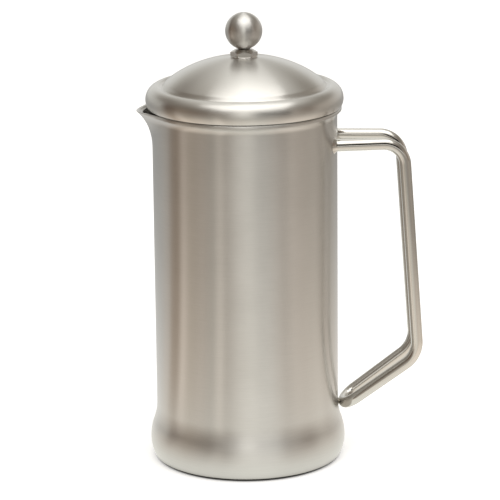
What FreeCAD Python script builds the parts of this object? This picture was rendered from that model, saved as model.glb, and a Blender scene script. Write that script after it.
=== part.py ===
import FreeCAD, Part
import math
import os
from FreeCAD import Vector

# A double-walled steel cafetiere (french press), in millimetres.
# +Z is up, the origin is the centre of the base, the handle points along +X
# and the spout along -X.  The plunger is modelled fully pressed down.

# ---- driving dimensions ----------------------------------------------------
SHEET = 0.8                 # thickness of the pressed steel sheets
BODY_R = 50.0               # outside of the straight wall
RIM_R = 52.35               # outside of the rim
RIM_Z = 196.2               # top of the rim
FLARE_R = 5.0               # radius of the curve that turns the wall out to the rim
FLARE_Z = 190.3             # where that curve starts
SWELL_R = 53.6              # largest radius of the swollen foot
SWELL_Z = 10.5              # height of that largest radius
SWELL_TOP_Z = 30.5          # where the swelling starts
FOOT_CURVE_R = 19.5         # radius that turns the swelling in below
FOOT_Z = 1.3                # underside of the outer shell
FLANGE_R = 46.0             # inner edge of the turned-in bottom flange
BASE_PLATE_R = 47.5         # set in from the edge of the foot, which leaves a dark gap all round
GROOVE_RADII = (20.0, 34.0)  # pressed rings in the underside of the base plate
GROOVE_WIDTH = 2.0
GROOVE_DEPTH = 0.4

LINER_R = 45.6              # inside of the liner, where the filter runs
LINER_FLOOR_Z = 9.0
LINER_CORNER_R = 6.0
SHOULDER_TOP_Z = 187.0      # the liner steps out to the shell between these heights
SHOULDER_Z = 175.0

SPOUT_START_Z = 174.5       # where the spout starts to leave the wall
SPOUT_CURVE_R = 31.2        # radius of the spout's front line, seen from the side
SPOUT_DROP = 0.1            # fall of the lip for each millimetre outwards
SPOUT_SECTIONS = 8
SPOUT_NOSE = 0.25           # rounding of the tip, as a share of the spout's half width

ROD_R = 3.2                 # handle rod
HANDLE_HALF_GAP = 11.2      # from the middle to each rod of the grip
HANDLE_POT_HALF_GAP = 14.5  # the same where the rods meet the pot
HANDLE_LOOP_R = 8.6         # loop that joins the two rods against the pot
HANDLE_TOP_X = 85.2         # centre line of the upper corner, before bending
HANDLE_TOP_Z = 176.5
HANDLE_BOTTOM_X = 93.3      # centre line of the lower corner, before bending
HANDLE_BOTTOM_Z = 57.4
HANDLE_TIP_X = 53.4         # where the loop touches the pot
HANDLE_TIP_Z = 28.4
TOP_BEND_R = 12.3
BOTTOM_BEND_R = 15.5
WELD_R = 4.4                # foot of the weld fillet round each upper rod end
WELD_LENGTH = 2.8
WELD_SPOT_R = 2.6           # foot of the weld spot at the bottom loop
WELD_SPOT_END_R = 1.4

LID_GAP = 0.3               # daylight between the lid and the rim
LID_FLAT_R = 9.0            # flat seat in the middle of the dome
DOME_A = 56.66              # half axes of the dome's elliptical section
DOME_B = 41.6
DOME_CENTRE_Z = 182.1
DOME_END_R = 42.4           # where the dome runs out into the valley
VALLEY_R = 44.7
VALLEY_Z = 207.2
CREST_R = 46.8              # highest line of the rolled edge
CREST_Z = 207.9
BEAD_R = 53.4               # outside of the rolled edge
BEAD_Z = 200.45
BEAD_TUBE_R = 7.9           # curve of the rolled edge below its widest line
LID_HOLE_R = 4.1

INSERT_R = 50.0             # disc of the pan under the lid
SKIRT_R = 47.9              # outside of the skirt that drops into the pot
SKIRT_Z = 184.5
SLOT_SIZE = (6.0, 4.0, 6.0)  # pouring slots in the skirt: depth, width, height
SLOT_Z = 187.0
SLOT_PITCH_DEG = 12
SLOT_END_DEG = 36           # the slots reach this far to each side of the spout

BUSH_R = 4.0
BUSH_BORE_R = 3.4
NUT_T = 4.0
BUSH_TOP_Z = 227.4
BUSH_BOTTOM_Z = 191.5
HEX_FLATS = 13.0            # across flats of the bush's head and of its nut
HEX_CHAMFER_R = 4.4         # flat top that the chamfer of the head leaves
HEX_CHAMFER_DEG = 30
BUSH_HEAD_Z = 223.7         # underside of the hexagon head, on the washer
SNAP_Z = 219.0              # groove in the bush that keeps the sleeve
SNAP_HEIGHT = 1.0
SNAP_GROOVE_R = 3.7
SNAP_RING_R = 3.6
WASHER_R = 7.4
WASHER_T = 0.5
WASHER_EDGE_R = 0.3
LOWER_WASHER_R = 8.0
SLEEVE_R = 3.35
SLEEVE_BORE_R = 2.56
COLLAR_R = 4.8              # stop of the sleeve under the bush
COLLAR_T = 1.2

PLUNGER_ROD_R = 2.5
ROD_END_CHAMFER = 0.5
ROD_BELOW_NUT = 1.5
BALL_R = 10.0
BALL_Z = 237.2
ROD_TOP_Z = 241.0

FILTER_BOTTOM_Z = 13.0
SUPPORT_Z = 18.0            # underside of the support plate
FILTER_NUT_R = 8.0
SCALLOP_R = 1.2             # finger grips round the filter nut
SCALLOP_PITCH_R = 8.6
SCALLOPS = 12
FILTER_R = 45.3
MESH_T = 0.4
MESH_OVER_SPRING = 0.6      # how far the mesh's edge stands above the spring
SPRING_TUBE_R = 1.9
SPRING_GAP = 0.05           # play of the spring inside the mesh's edge
SUPPORT_R = 42.0
SUPPORT_T = 1.0
SUPPORT_HOLES = ((4.0, 17.0, 8), (5.0, 31.0, 14))   # hole radius, circle radius, count
SPREADER_R = 40.6
SPREADER_SEAT_R = 11.0      # flat middle of the spreader plate
SPREADER_SLOPE_R = 15.0     # where its slope ends
SPREADER_RISE = 1.6
SPREADER_HOLES = ((2.0, 22.0, 12), (2.5, 33.0, 18))
HUB_R = 7.5
HUB_TOP_R = 4.5
HUB_FLANGE_T = 3.0
HUB_HEIGHT = 8.0
FIT_GAP = 0.03              # radial gap of the plain fits inside one body

PAST = 1.0                  # how far a cutting shape reaches past the material

AXIS = Vector(0, 0, 1)
ORIGIN = Vector(0, 0, 0)


# ---- helpers ---------------------------------------------------------------
def at(r, z):
    """A point of a turned outline, from its radius and height."""
    return Vector(r, 0, z)


def line(start, end):
    return Part.LineSegment(at(*start), at(*end)).toShape()


def arc_about(centre, radius, start_deg, end_deg):
    """An arc of an outline; angles count from +r towards +z."""
    points = []
    for angle in (start_deg, (start_deg + end_deg) / 2, end_deg):
        turn = math.radians(angle)
        points.append(at(centre[0] + radius * math.cos(turn), centre[1] + radius * math.sin(turn)))
    return Part.Arc(*points).toShape()


def ends(edges):
    """First and last point of a chain of outline edges."""
    first = edges[0].firstVertex(True).Point
    last = edges[-1].lastVertex(True).Point
    return (first.x, first.z), (last.x, last.z)


def polyline(points):
    return [line(a, b) for a, b in zip(points, points[1:])]


def turned(edges):
    """The solid made by turning a closed outline about the axis."""
    face = Part.Face(Part.Wire(Part.sortEdges(edges)[0]))
    return face.revolve(ORIGIN, AXIS, 360)


def turned_polygon(points):
    return turned(polyline(points + points[:1]))


def filled(edges):
    """The turned solid between an open outline and the axis."""
    start, end = ends(edges)
    caps = [line((0, start[1]), start), line((0, end[1]), (0, start[1]))]
    if end[0] > 0:
        caps.append(line(end, (0, end[1])))
    return turned(edges + caps)


def cylinder(radius, low, high, x=0.0, y=0.0):
    return Part.makeCylinder(radius, high - low, Vector(x, y, low), AXIS)


def ring(inner, outer, low, high):
    return cylinder(outer, low, high).cut(cylinder(inner, low - PAST, high + PAST))


def hexagon(flats, low, high):
    """A hexagonal prism with one flat facing the front (-Y)."""
    corner_r = flats / math.sqrt(3)
    corners = []
    for index in range(7):
        turn = math.radians(60 * index)
        corners.append(Vector(corner_r * math.cos(turn), corner_r * math.sin(turn), low))
    return Part.Face(Part.makePolygon(corners)).extrude(Vector(0, 0, high - low))


def holes(shape, radius, pitch_r, count, low, high, start_deg=0.0):
    """Drill a circle of round holes through a plate."""
    drills = []
    for index in range(count):
        turn = math.radians(start_deg + 360 * index / count)
        drills.append(cylinder(radius, low, high, pitch_r * math.cos(turn), pitch_r * math.sin(turn)))
    return shape.cut(Part.makeCompound(drills))


# ---- outlines of the pot ---------------------------------------------------
def s_curve(top, bottom, inset):
    """Two equal tangent arcs from one upright wall to another, moved in by inset."""
    side = 1 if bottom[0] > top[0] else -1
    drop = top[1] - bottom[1]
    sweep = 2 * math.atan(abs(bottom[0] - top[0]) / drop)
    radius = drop / (2 * math.sin(sweep))
    degrees = math.degrees(sweep)
    upper_centre = (top[0] + side * radius, top[1])
    lower_centre = (bottom[0] - side * radius, bottom[1])
    if side > 0:
        return [
            arc_about(upper_centre, radius + inset, 180, 180 + degrees),
            arc_about(lower_centre, radius - inset, degrees, 0),
        ]
    return [
        arc_about(upper_centre, radius - inset, 0, -degrees),
        arc_about(lower_centre, radius + inset, 180 - degrees, 180),
    ]


def rim_outline(inset, top_z, wall_end_z):
    """The lip, the flare and the straight wall below it, moved in by inset."""
    lip_r = RIM_R - inset
    centre = (BODY_R + FLARE_R, FLARE_Z)
    radius = FLARE_R + inset
    flare_deg = math.degrees(math.acos((centre[0] - lip_r) / radius))
    flare = arc_about(centre, radius, 180 - flare_deg, 180)
    flare_top = ends([flare])[0]
    wall_r = BODY_R - inset
    return [line((lip_r, top_z), flare_top), flare, line((wall_r, FLARE_Z), (wall_r, wall_end_z))]


def shell_outline(inset):
    """The whole side of the outer shell from the rim to the foot, moved in by inset."""
    foot_deg = math.degrees(math.asin((SWELL_Z - FOOT_Z - inset) / (FOOT_CURVE_R - inset)))
    foot_centre = (SWELL_R - FOOT_CURVE_R, SWELL_Z)
    edges = rim_outline(inset, RIM_Z, SWELL_TOP_Z)
    edges += s_curve((BODY_R, SWELL_TOP_Z), (SWELL_R, SWELL_Z), inset)
    edges.append(arc_about(foot_centre, FOOT_CURVE_R - inset, 0, -foot_deg))
    foot_end = ends(edges)[1]
    edges.append(line(foot_end, (FLANGE_R, foot_end[1])))
    return edges


def liner_outline(inset):
    """The liner from the rim to the middle of its floor, moved in by inset from the shell's outside."""
    into_liner = inset - 2 * SHEET
    wall_r = LINER_R - into_liner
    floor_z = LINER_FLOOR_Z + into_liner
    corner_r = LINER_CORNER_R - into_liner
    corner_z = floor_z + corner_r
    edges = rim_outline(inset, RIM_Z, SHOULDER_TOP_Z)
    edges += s_curve((BODY_R, SHOULDER_TOP_Z), (LINER_R + 2 * SHEET, SHOULDER_Z), inset)
    edges.append(line((wall_r, SHOULDER_Z), (wall_r, corner_z)))
    edges.append(arc_about((wall_r - corner_r, corner_z), corner_r, 0, -90))
    edges.append(line((wall_r - corner_r, floor_z), (0, floor_z)))
    return edges


def pot_radius(z):
    """Outside radius of the upper pot at a height."""
    if z <= FLARE_Z:
        return BODY_R
    rise = min(z - FLARE_Z, FLARE_R * 0.999)
    return min(RIM_R, BODY_R + FLARE_R - math.sqrt(FLARE_R ** 2 - rise ** 2))


def spout_section(z, inset):
    """A V whose sides are tangent to the pot, with a rounded tip pointing along -X."""
    wall_r = pot_radius(z)
    rise = z - SPOUT_START_Z
    tip_r = BODY_R + SPOUT_CURVE_R - math.sqrt(SPOUT_CURVE_R ** 2 - rise ** 2)
    tip_turn = math.acos(wall_r / max(tip_r, wall_r * 1.0008))
    half_turn = tip_turn * (1 + SPOUT_NOSE)
    wall_r -= inset
    sharp_r = wall_r / math.cos(half_turn)
    nose_r = wall_r / math.cos(tip_turn)
    radius = (sharp_r - nose_r) / (1 / math.cos(half_turn) - 1)
    sharp_tip = Vector(-sharp_r, 0, z)
    sides = []
    for way in (1, -1):
        foot = Vector(-wall_r * math.cos(half_turn), way * wall_r * math.sin(half_turn), z)
        along = (foot - sharp_tip).normalize()
        sides.append((foot, sharp_tip + along * radius * math.tan(half_turn)))
    (foot_a, round_a), (foot_b, round_b) = sides
    heart = Vector(-wall_r * 0.75, 0, z)
    return Part.Wire([
        Part.LineSegment(foot_a, round_a).toShape(),
        Part.Arc(round_a, Vector(-nose_r, 0, z), round_b).toShape(),
        Part.LineSegment(round_b, foot_b).toShape(),
        Part.LineSegment(foot_b, heart).toShape(),
        Part.LineSegment(heart, foot_a).toShape(),
    ])


def spout_solid(inset):
    """The wedge that the spout adds to the pot, filled, moved in by inset."""
    first_z = SPOUT_START_Z + 1.5
    sections = []
    for index in range(SPOUT_SECTIONS + 1):
        z = first_z + (RIM_Z - first_z) * index / SPOUT_SECTIONS
        sections.append(spout_section(z, inset))
    return Part.makeLoft(sections, True, False)


def above_lip():
    """Everything over the falling lip of the spout."""
    reach = 80.0
    start_x = -RIM_R * BODY_R / (BODY_R + 8)
    drop = (reach + start_x) * SPOUT_DROP
    corners = [
        Vector(start_x, -reach, RIM_Z),
        Vector(-reach, -reach, RIM_Z - drop),
        Vector(-reach, -reach, RIM_Z + reach),
        Vector(start_x, -reach, RIM_Z + reach),
    ]
    return Part.Face(Part.makePolygon(corners + corners[:1])).extrude(Vector(0, 2 * reach, 0))


# ---- the pot ---------------------------------------------------------------
def pot_blank(outline, inset):
    """The pot's filled shape inside one of its surfaces, spout included."""
    return filled(outline).fuse(spout_solid(inset)).removeSplitter()


def outer_shell():
    outside = pot_blank(shell_outline(0), 0)
    inside = pot_blank(shell_outline(SHEET), SHEET)
    shell = outside.cut(inside).cut(cylinder(FLANGE_R, FOOT_Z - PAST, FOOT_Z + SHEET + PAST))
    return shell.cut(above_lip())


def inner_liner():
    outside = pot_blank(liner_outline(SHEET), SHEET)
    inside = pot_blank(liner_outline(2 * SHEET), 2 * SHEET)
    return outside.cut(inside).cut(above_lip())


def base_plate():
    """Flat disc under the foot, with two shallow pressed rings."""
    plate = cylinder(BASE_PLATE_R, 0, FOOT_Z)
    for groove_r in GROOVE_RADII:
        plate = plate.cut(ring(groove_r, groove_r + GROOVE_WIDTH, -PAST, GROOVE_DEPTH))
    return plate


# ---- the handle ------------------------------------------------------------
def rounded_path(points, radii):
    """Straight runs joined by tangent arcs at the inner points."""
    edges = []
    start = points[0]
    for before, corner, after, radius in zip(points, points[1:], points[2:], radii):
        into = (corner - before).normalize()
        out = (after - corner).normalize()
        turn = into.getAngle(out)
        reach = radius * math.tan(turn / 2)
        arc_start = corner - into * reach
        arc_end = corner + out * reach
        inward = (out - into).normalize()
        middle = corner + inward * (radius / math.cos(turn / 2) - radius)
        edges.append(Part.LineSegment(start, arc_start).toShape())
        edges.append(Part.Arc(arc_start, middle, arc_end).toShape())
        start = arc_end
    edges.append(Part.LineSegment(start, points[-1]).toShape())
    return edges


def handle_corners(side):
    """Corners of one rod's centre line, from inside the pot's wall to the bottom loop."""
    tip = Vector(HANDLE_TIP_X, 0, HANDLE_TIP_Z)
    lower_leg = Vector(HANDLE_BOTTOM_X, 0, HANDLE_BOTTOM_Z) - tip
    spread = math.atan2(HANDLE_HALF_GAP - HANDLE_LOOP_R, lower_leg.Length - HANDLE_LOOP_R)
    loop_start = tip + lower_leg.normalize() * HANDLE_LOOP_R * (1 - math.sin(spread))
    loop_start.y = side * HANDLE_LOOP_R * math.cos(spread)
    return [
        Vector(BODY_R - 4, side * HANDLE_POT_HALF_GAP, HANDLE_TOP_Z),
        Vector(HANDLE_TOP_X, side * HANDLE_HALF_GAP, HANDLE_TOP_Z),
        Vector(HANDLE_BOTTOM_X, side * HANDLE_HALF_GAP, HANDLE_BOTTOM_Z),
        loop_start,
    ]


def handle_rod():
    """One rod bent into a double-rod handle; its ends are shaped to the pot's wall."""
    bends = (TOP_BEND_R, BOTTOM_BEND_R)
    near = handle_corners(-1)
    far = handle_corners(1)
    tip = Vector(HANDLE_TIP_X, 0, HANDLE_TIP_Z)
    edges = rounded_path(near, bends)
    edges.append(Part.Arc(near[-1], tip, far[-1]).toShape())
    edges += rounded_path(far[::-1], bends[::-1])
    path = Part.Wire(edges)
    heading = (near[1] - near[0]).normalize()
    circle = Part.Wire(Part.makeCircle(ROD_R, near[0], heading))
    rod = path.makePipeShell([circle], True, False)
    return rod.cut(cylinder(BODY_R, HANDLE_TIP_Z - 20, HANDLE_TOP_Z + 20))


def upper_handle_welds(rod):
    """Weld fillets round the two rod ends."""
    wall = cylinder(BODY_R, HANDLE_TOP_Z - 20, HANDLE_TOP_Z + 20)
    welds = []
    for side in (-1, 1):
        start, corner = handle_corners(side)[:2]
        heading = (corner - start).normalize()
        wall_x = math.sqrt(BODY_R ** 2 - HANDLE_POT_HALF_GAP ** 2)
        foot = start + heading * ((wall_x - start.x) / heading.x - WELD_LENGTH / 2)
        welds.append(Part.makeCone(WELD_R, ROD_R, WELD_LENGTH, foot, heading).cut(wall).cut(rod))
    return Part.makeCompound(welds)


def lower_handle_weld(rod):
    """The weld spot between the bottom loop and the pot."""
    foot = Vector(BODY_R - 1, 0, HANDLE_TIP_Z)
    spot = Part.makeCone(WELD_SPOT_R, WELD_SPOT_END_R, HANDLE_TIP_X - foot.x, foot, Vector(1, 0, 0))
    return spot.cut(rod).cut(filled(shell_outline(0)))


# ---- the lid ---------------------------------------------------------------
def dome_ellipse(inset):
    centre = at(0, DOME_CENTRE_Z)
    return Part.Ellipse(at(DOME_A - inset, DOME_CENTRE_Z), at(0, DOME_CENTRE_Z + DOME_B - inset), centre)


def lid_outline(inset):
    """The lid's section from the bush hole out to the bottom of the rolled edge."""
    ellipse = dome_ellipse(inset)
    flat_turn = math.acos(LID_FLAT_R / (DOME_A - inset))
    end_r = DOME_END_R - 0.6 * inset
    end_turn = math.acos(end_r / (DOME_A - inset))
    dome = Part.Arc(ellipse, end_turn, flat_turn).toShape()
    dome_end = ellipse.value(end_turn)
    flat_end = ellipse.value(flat_turn)
    downhill = Vector(-ellipse.tangent(end_turn)[0])
    if downhill.x < 0:
        downhill = downhill * -1
    valley = Part.BSplineCurve()
    crest = at(CREST_R, CREST_Z - inset)
    valley.interpolate(
        [dome_end, at(VALLEY_R, VALLEY_Z - inset), crest],
        Tangents=[downhill * 2.0, Vector(2.0, 0, 0), Vector(2.0, 0, 0)],
        TangentFlags=[True, True, True],
    )
    half_width = BEAD_R - CREST_R - inset
    half_height = CREST_Z - BEAD_Z - inset
    shoulder = Part.Arc(
        crest,
        at(CREST_R + half_width * math.sqrt(0.5), BEAD_Z + half_height * math.sqrt(0.5)),
        at(BEAD_R - inset, BEAD_Z),
    ).toShape()
    low_z = RIM_Z + LID_GAP + inset
    tube_r = BEAD_TUBE_R - inset
    under_deg = math.degrees(math.asin((BEAD_Z - low_z) / tube_r))
    under = arc_about((BEAD_R - BEAD_TUBE_R, BEAD_Z), tube_r, 0, -under_deg)
    under_end = ends([under])[1]
    return [
        Part.LineSegment(at(LID_HOLE_R, flat_end.z), flat_end).toShape(),
        dome,
        valley.toShape(),
        shoulder,
        under,
        line(under_end, (SKIRT_R + 0.2, low_z)),
    ]


def lid_shell():
    outer = lid_outline(0)
    inner = lid_outline(SHEET)
    top = line((LID_HOLE_R, outer[0].firstVertex(True).Z), (LID_HOLE_R, inner[0].firstVertex(True).Z))
    edge = line((SKIRT_R + 0.2, RIM_Z + LID_GAP), (SKIRT_R + 0.2, RIM_Z + LID_GAP + SHEET))
    return turned(outer + inner + [top, edge])


def lid_insert():
    """Pan that closes the lid from below: a disc held by the lid's turned-in edge, and a skirt."""
    disc_z = RIM_Z + LID_GAP + SHEET
    skirt_in = SKIRT_R - SHEET
    pan = turned_polygon([
        (LID_HOLE_R, disc_z),
        (skirt_in, disc_z),
        (skirt_in, SKIRT_Z),
        (SKIRT_R, SKIRT_Z),
        (SKIRT_R, disc_z),
        (INSERT_R, disc_z),
        (INSERT_R, disc_z + SHEET),
        (LID_HOLE_R, disc_z + SHEET),
    ])
    slots = []
    depth, width, height = SLOT_SIZE
    for turn in range(-SLOT_END_DEG, SLOT_END_DEG + 1, SLOT_PITCH_DEG):
        slot = Part.makeBox(depth, width, height, Vector(-SKIRT_R - depth / 2, -width / 2, SLOT_Z))
        slot.rotate(ORIGIN, AXIS, turn)
        slots.append(slot)
    return pan.cut(Part.makeCompound(slots))


def lid_bush():
    """Hexagon-headed guide bush that clamps the lid and its pan together."""
    head_z = BUSH_HEAD_Z
    head = hexagon(HEX_FLATS, head_z, BUSH_TOP_Z)
    corner_r = HEX_FLATS / math.sqrt(3)
    chamfer_z = BUSH_TOP_Z - (corner_r - HEX_CHAMFER_R) * math.tan(math.radians(HEX_CHAMFER_DEG))
    envelope = turned_polygon([
        (0, head_z - PAST),
        (corner_r, head_z - PAST),
        (corner_r, chamfer_z),
        (HEX_CHAMFER_R, BUSH_TOP_Z),
        (0, BUSH_TOP_Z),
    ])
    stem = cylinder(BUSH_R, BUSH_BOTTOM_Z, head_z)
    groove = cylinder(SNAP_GROOVE_R, SNAP_Z, SNAP_Z + SNAP_HEIGHT)
    bore = cylinder(BUSH_BORE_R, BUSH_BOTTOM_Z - PAST, BUSH_TOP_Z + PAST).fuse(groove)
    return head.common(envelope).fuse(stem).cut(bore).removeSplitter()


def lid_washer():
    low = BUSH_HEAD_Z - WASHER_T
    washer = ring(LID_HOLE_R, WASHER_R, low, BUSH_HEAD_Z)
    outer = [edge for edge in washer.Edges if abs(edge.BoundBox.XMax - WASHER_R) < 0.01]
    top_edges = [edge for edge in outer if edge.BoundBox.ZMin > low + WASHER_T / 2]
    return washer.makeFillet(WASHER_EDGE_R, top_edges)


def bush_washer():
    top = RIM_Z + LID_GAP + SHEET
    return ring(LID_HOLE_R, LOWER_WASHER_R, top - WASHER_T, top)


def bush_nut():
    """Thin hexagon nut under the pan."""
    top = RIM_Z + LID_GAP + SHEET - WASHER_T
    low = top - NUT_T
    return hexagon(HEX_FLATS, low, top).cut(cylinder(BUSH_R + FIT_GAP, low - PAST, top + PAST))


def guide_sleeve():
    """Plastic sleeve snapped into the bush; the plunger's rod slides in it."""
    play = 0.1
    collar_top = BUSH_BOTTOM_Z - play
    sleeve = cylinder(SLEEVE_R, collar_top, BUSH_TOP_Z - 2 * play)
    collar = cylinder(COLLAR_R, collar_top - COLLAR_T, collar_top)
    snap = cylinder(SNAP_RING_R, SNAP_Z + play, SNAP_Z + SNAP_HEIGHT - play)
    bore = cylinder(SLEEVE_BORE_R, collar_top - COLLAR_T - PAST, BUSH_TOP_Z + PAST)
    return sleeve.fuse([collar, snap]).cut(bore)


# ---- the plunger -----------------------------------------------------------
def knob_ball():
    ball = Part.makeSphere(BALL_R, at(0, BALL_Z))
    return ball.cut(cylinder(PLUNGER_ROD_R + FIT_GAP, BALL_Z - BALL_R - PAST, ROD_TOP_Z + 0.5))


def plunger_rod():
    rod = cylinder(PLUNGER_ROD_R, FILTER_BOTTOM_Z - ROD_BELOW_NUT, ROD_TOP_Z)
    return rod.makeChamfer(ROD_END_CHAMFER, [edge for edge in rod.Edges if edge.Closed])


def stack_hole(low, high):
    return cylinder(PLUNGER_ROD_R + FIT_GAP, low - PAST, high + PAST)


def filter_nut():
    """Round nut with finger flats that holds the filter discs from below."""
    low, high = FILTER_BOTTOM_Z, SUPPORT_Z
    nut = cylinder(FILTER_NUT_R, low, high).cut(stack_hole(low, high))
    return holes(nut, SCALLOP_R, SCALLOP_PITCH_R, SCALLOPS, low - PAST, high - 1.0)


def support_plate():
    """Stiff perforated disc under the mesh."""
    low, high = SUPPORT_Z, SUPPORT_Z + SUPPORT_T
    plate = cylinder(SUPPORT_R, low, high).cut(stack_hole(low, high))
    for radius, pitch_r, count in SUPPORT_HOLES:
        plate = holes(plate, radius, pitch_r, count, low - PAST, high + PAST)
    return plate


def mesh_screen():
    """Fine mesh disc whose edge is turned up round the spring."""
    low = SUPPORT_Z + SUPPORT_T
    top = low + MESH_T + 2 * SPRING_TUBE_R + MESH_OVER_SPRING
    return turned_polygon([
        (PLUNGER_ROD_R + FIT_GAP, low),
        (FILTER_R, low),
        (FILTER_R, top),
        (FILTER_R - MESH_T, top),
        (FILTER_R - MESH_T, low + MESH_T),
        (PLUNGER_ROD_R + FIT_GAP, low + MESH_T),
    ])


def edge_spring():
    """Outer shape of the coil spring that presses the mesh against the liner."""
    ring_r = FILTER_R - MESH_T - SPRING_TUBE_R - SPRING_GAP
    centre_z = SUPPORT_Z + SUPPORT_T + MESH_T + SPRING_TUBE_R + SPRING_GAP
    return Part.makeTorus(ring_r, SPRING_TUBE_R, at(0, centre_z), AXIS)


def spreader_plate():
    """Dished plate with two rings of small holes, clamped on the mesh."""
    low = SUPPORT_Z + SUPPORT_T + MESH_T
    high = low + SPREADER_RISE
    plate = turned_polygon([
        (PLUNGER_ROD_R + FIT_GAP, low),
        (SPREADER_SEAT_R, low),
        (SPREADER_SLOPE_R, high),
        (SPREADER_R, high),
        (SPREADER_R, high + SHEET),
        (SPREADER_SLOPE_R - SHEET / 4, high + SHEET),
        (SPREADER_SEAT_R - SHEET / 4, low + SHEET),
        (PLUNGER_ROD_R + FIT_GAP, low + SHEET),
    ])
    for radius, pitch_r, count in SPREADER_HOLES:
        plate = holes(plate, radius, pitch_r, count, low - PAST, high + SHEET + PAST, 180 / count)
    return plate


def filter_hub():
    """Turned hub on the rod above the discs."""
    low = SUPPORT_Z + SUPPORT_T + MESH_T + SHEET
    return turned_polygon([
        (PLUNGER_ROD_R + FIT_GAP, low),
        (HUB_R, low),
        (HUB_R, low + HUB_FLANGE_T),
        (HUB_TOP_R, low + HUB_HEIGHT),
        (PLUNGER_ROD_R + FIT_GAP, low + HUB_HEIGHT),
    ])


# ---- export ----------------------------------------------------------------
def main():
    handle = handle_rod()
    parts = {
        "outer_shell": outer_shell(),
        "inner_liner": inner_liner(),
        "base_plate": base_plate(),
        "handle_rod": handle,
        "upper_handle_welds": upper_handle_welds(handle),
        "lower_handle_weld": lower_handle_weld(handle),
        "lid_shell": lid_shell(),
        "lid_insert": lid_insert(),
        "lid_bush": lid_bush(),
        "lid_washer": lid_washer(),
        "bush_washer": bush_washer(),
        "bush_nut": bush_nut(),
        "guide_sleeve": guide_sleeve(),
        "knob_ball": knob_ball(),
        "plunger_rod": plunger_rod(),
        "filter_hub": filter_hub(),
        "spreader_plate": spreader_plate(),
        "edge_spring": edge_spring(),
        "mesh_screen": mesh_screen(),
        "support_plate": support_plate(),
        "filter_nut": filter_nut(),
    }
    os.makedirs("parts", exist_ok=True)
    for name, shape in parts.items():
        box = shape.optimalBoundingBox(False)
        print(name, shape.isValid(), len(shape.Solids), round(shape.Volume), "mm3",
              [round(v, 2) for v in (box.XMin, box.XMax, box.YMin, box.YMax, box.ZMin, box.ZMax)])
        shape.exportStep("parts/" + name + ".step")


main()
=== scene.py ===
import math

import bmesh
import bpy
from mathutils import Matrix, Vector


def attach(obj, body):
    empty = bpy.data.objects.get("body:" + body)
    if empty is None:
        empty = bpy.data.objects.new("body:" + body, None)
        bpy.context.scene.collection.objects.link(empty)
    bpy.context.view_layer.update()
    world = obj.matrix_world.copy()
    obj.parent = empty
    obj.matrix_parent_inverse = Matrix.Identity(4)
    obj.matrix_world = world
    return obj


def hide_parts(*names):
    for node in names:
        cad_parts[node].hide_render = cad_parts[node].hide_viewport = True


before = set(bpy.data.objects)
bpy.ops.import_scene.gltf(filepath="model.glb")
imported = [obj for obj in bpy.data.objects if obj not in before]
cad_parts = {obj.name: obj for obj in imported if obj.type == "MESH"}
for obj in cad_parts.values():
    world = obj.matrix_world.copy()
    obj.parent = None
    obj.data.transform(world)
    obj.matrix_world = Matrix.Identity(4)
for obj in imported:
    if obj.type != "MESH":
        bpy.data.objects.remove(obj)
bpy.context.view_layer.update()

MM = 0.001

# ---- sizes, in millimetres, as in the CAD model -----------------------------
SHEET = 0.8
BODY_R = 50.0
RIM_R = 52.35
RIM_Z = 196.2
FLARE_R = 5.0
FLARE_Z = 190.3
SWELL_R = 53.6
SWELL_Z = 10.5
SWELL_TOP_Z = 30.5
FOOT_CURVE_R = 19.5
FOOT_EDGE_R = 0.55
FOOT_Z = 1.3
FLANGE_R = 46.0
BASE_PLATE_R = 47.5
LINER_R = 45.6
LINER_FLOOR_Z = 9.0
LINER_CORNER_R = 6.0
SHOULDER_TOP_Z = 187.0
SHOULDER_Z = 175.0
SPOUT_START_Z = 174.5
SPOUT_CURVE_R = 31.2
SPOUT_DROP = 0.10          # fall of the lip for each millimetre outwards
SPOUT_FALL_X = RIM_R * BODY_R / (BODY_R + 8)
SPOUT_FALL_Z = 187.0
SPOUT_NOSE = 0.25          # rounding of the tip, as a share of the spout's half width
ROD_R = 3.2
HANDLE_HALF_GAP = 11.2
HANDLE_LOOP_R = 8.6
HANDLE_POT_HALF_GAP = 14.5
HANDLE_ROOT_X = 47.4
HANDLE_TOP = (85.2, 176.5)
HANDLE_BOTTOM = (93.3, 57.4)
HANDLE_TIP = (53.4, 28.4)
TOP_BEND_R = 12.3
BOTTOM_BEND_R = 15.5
LID_GAP = 0.3
DOME_A = 56.66
DOME_B = 41.6
DOME_CENTRE_Z = 182.1
LID_FLAT_R = 9.0
DOME_END_R = 42.4
VALLEY = (44.7, 207.2)
CREST = (46.8, 207.9)
BEAD_R = 53.4
BEAD_Z = 200.45
BEAD_TUBE_R = 7.9
LID_HOLE_R = 4.1
INSERT_R = 50.0
SKIRT_R = 47.9
SKIRT_Z = 184.5
SLOT_WIDTH = 4.0
SLOT_Z = 187.0
SLOT_HEIGHT = 6.0
SLOT_TURNS_DEG = range(-36, 37, 12)
WELD_R = 4.4
WELD_LENGTH = 2.8
WELD_SPOT_R = 2.6
WELD_SPOT_END_R = 1.4
BUSH_R = 4.0
BUSH_BORE_R = 3.4
BUSH_TOP_Z = 227.4
BUSH_HEAD_Z = 223.7
BUSH_BOTTOM_Z = 191.5
NUT_T = 4.0
HEX_FLATS = 13.0
HEX_CORNER_R = HEX_FLATS / math.sqrt(3)
HEX_BLUNT_R = 0.985 * HEX_CORNER_R      # the hexagon's corners are cut back to this radius
HEX_CHAMFER_R = 4.4
HEX_CHAMFER_DEG = 30
WASHER_R = 7.4
WASHER_T = 0.5
LOWER_WASHER_R = 8.0
SNAP_Z = 219.0
SLEEVE_R = 3.35
SLEEVE_BORE_R = 2.56
COLLAR_R = 4.8
COLLAR_T = 1.2
THREAD_PITCH = 0.75
PLUNGER_ROD_R = 2.5
ROD_TOP_Z = 241.0
BALL_R = 10.0
BALL_Z = 237.2
FILTER_BOTTOM_Z = 13.0
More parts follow.
